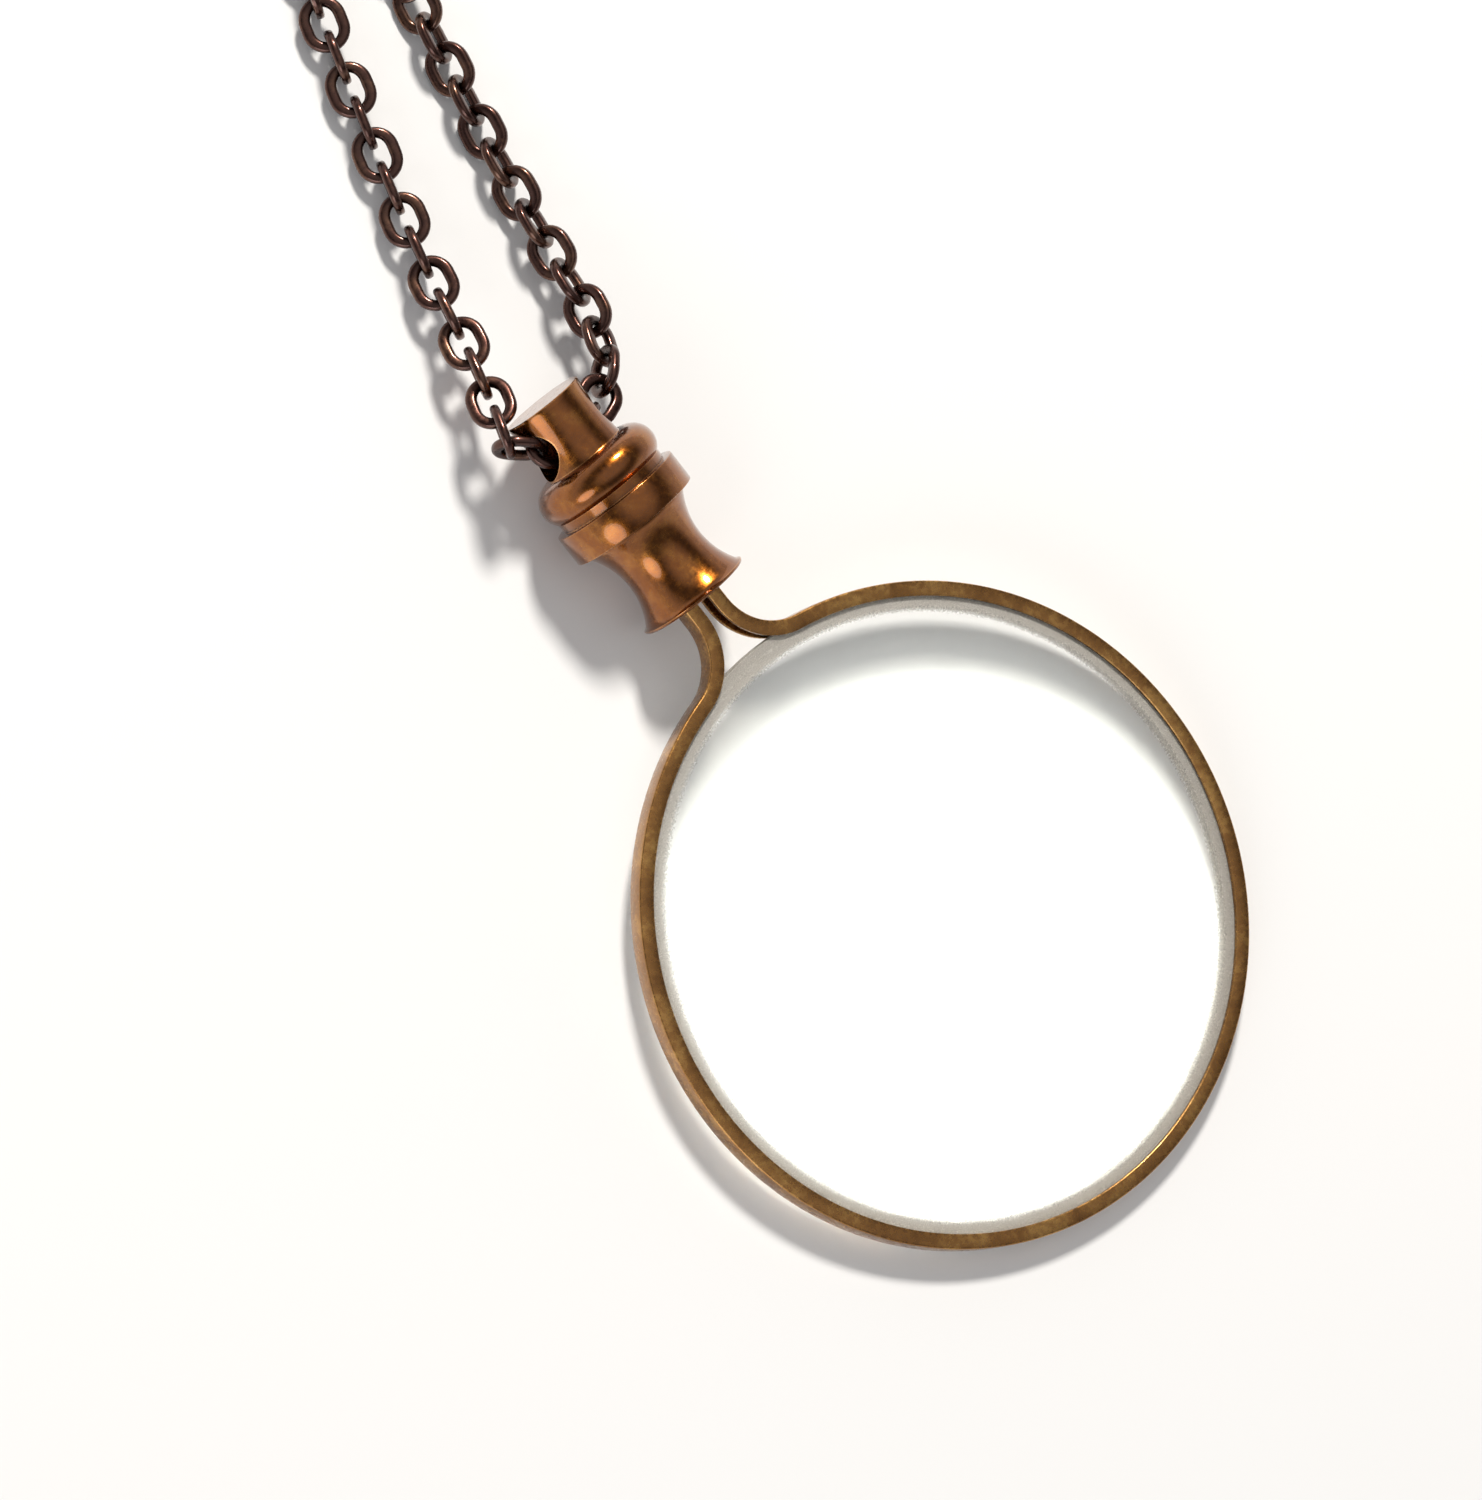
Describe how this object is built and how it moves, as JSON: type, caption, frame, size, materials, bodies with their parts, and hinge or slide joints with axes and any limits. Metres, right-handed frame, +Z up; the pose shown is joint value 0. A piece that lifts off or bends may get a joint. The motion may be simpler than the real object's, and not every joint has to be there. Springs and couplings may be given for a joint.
{
  "type": "pendant hand lens",
  "caption": "Round pendant magnifier: biconvex lens in a channel rim, turned ferrule and finial, on a cable neck chain.",
  "frame": {"origin": "middle of the resting footprint of the lens, rim, ferrule and finial, on the surface they lie on", "axes": "+Z up, +Y from the lens along the handle towards the chain, +X to the right; the optical axis leans 3.9 degrees from +Z"},
  "size_m": [0.0546, 0.1724, 0.0106],
  "materials": {
    "lens_glass": "polished faces with a ground edge band",
    "rim_brass": "antiqued olive brass, worn bright along the edges",
    "turned_brass": "antiqued warm brass, turned and lightly burnished",
    "solder": "dull",
    "chain_bronze": "dark antiqued bronze plating, rubbed on the high spots"
  },
  "bodies": {
    "chain": {"chain_run_left": "chain_bronze", "chain_run_right": "chain_bronze", "chain_coil": "chain_bronze", "left_link_7": "chain_bronze", "left_link_8": "chain_bronze", "left_link_9": "chain_bronze", "left_link_10": "chain_bronze", "left_link_11": "chain_bronze", "left_link_12": "chain_bronze", "left_link_13": "chain_bronze", "left_link_14": "chain_bronze", "right_link_7": "chain_bronze", "right_link_8": "chain_bronze", "right_link_9": "chain_bronze", "right_link_10": "chain_bronze", "right_link_11": "chain_bronze", "right_link_12": "chain_bronze", "right_link_13": "chain_bronze"},
    "strands_6": {"left_link_6": "chain_bronze", "right_link_6": "chain_bronze"},
    "strands_5": {"left_link_5": "chain_bronze", "right_link_5": "chain_bronze"},
    "strands_4": {"left_link_4": "chain_bronze", "right_link_4": "chain_bronze"},
    "strands_3": {"left_link_3": "chain_bronze", "right_link_3": "chain_bronze"},
    "strands_2": {"left_link_2": "chain_bronze", "right_link_2": "chain_bronze"},
    "strands_1": {"left_link_1": "chain_bronze", "right_link_1": "chain_bronze"},
    "threaded_chain": {"threaded_link_1": "chain_bronze", "threaded_link_2": "chain_bronze", "threaded_link_3": "chain_bronze", "threaded_link_4": "chain_bronze"},
    "pendant": {"lens": "lens_glass", "rim": "rim_brass", "ferrule": "turned_brass", "solder_fill": "solder", "finial": "turned_brass"}
  },
  "joints": [
    {"name": "lift_6", "type": "hinge", "parent": "chain", "child": "strands_6", "pos_m": [0.00141, 0.04957, 0.00246], "axis": [-0.9877, 0.148, 0.0499], "range_deg": [0, 15]},
    {"name": "lift_5", "type": "hinge", "parent": "strands_6", "child": "strands_5", "pos_m": [0.00054, 0.04714, 0.00289], "axis": [-0.9865, 0.1531, 0.0581], "range_deg": [0, 15]},
    {"name": "lift_4", "type": "hinge", "parent": "strands_5", "child": "strands_4", "pos_m": [-0.00031, 0.04473, 0.00348], "axis": [-0.9847, 0.1594, 0.0711], "range_deg": [0, 15]},
    {"name": "lift_3", "type": "hinge", "parent": "strands_4", "child": "strands_3", "pos_m": [-0.00125, 0.04239, 0.00419], "axis": [-0.982, 0.1684, 0.0852], "range_deg": [0, 15]},
    {"name": "lift_2", "type": "hinge", "parent": "strands_3", "child": "strands_2", "pos_m": [-0.0023, 0.04015, 0.00504], "axis": [-0.9786, 0.1786, 0.102], "range_deg": [0, 15]},
    {"name": "lift_1", "type": "hinge", "parent": "strands_2", "child": "strands_1", "pos_m": [-0.00345, 0.03798, 0.00596], "axis": [-0.9769, 0.1776, 0.1186], "range_deg": [0, 6]},
    {"name": "lift_threaded", "type": "hinge", "parent": "strands_1", "child": "threaded_chain", "pos_m": [-0.00467, 0.03587, 0.00693], "axis": [-0.9806, 0.136, 0.1411], "range_deg": [0, 5]},
    {"name": "pendant_swing", "type": "hinge", "parent": "threaded_chain", "child": "pendant", "pos_m": [0, 0.03384, 0.0058], "axis": [-1, 0, 0], "range_deg": [0, 100]}
  ]
}
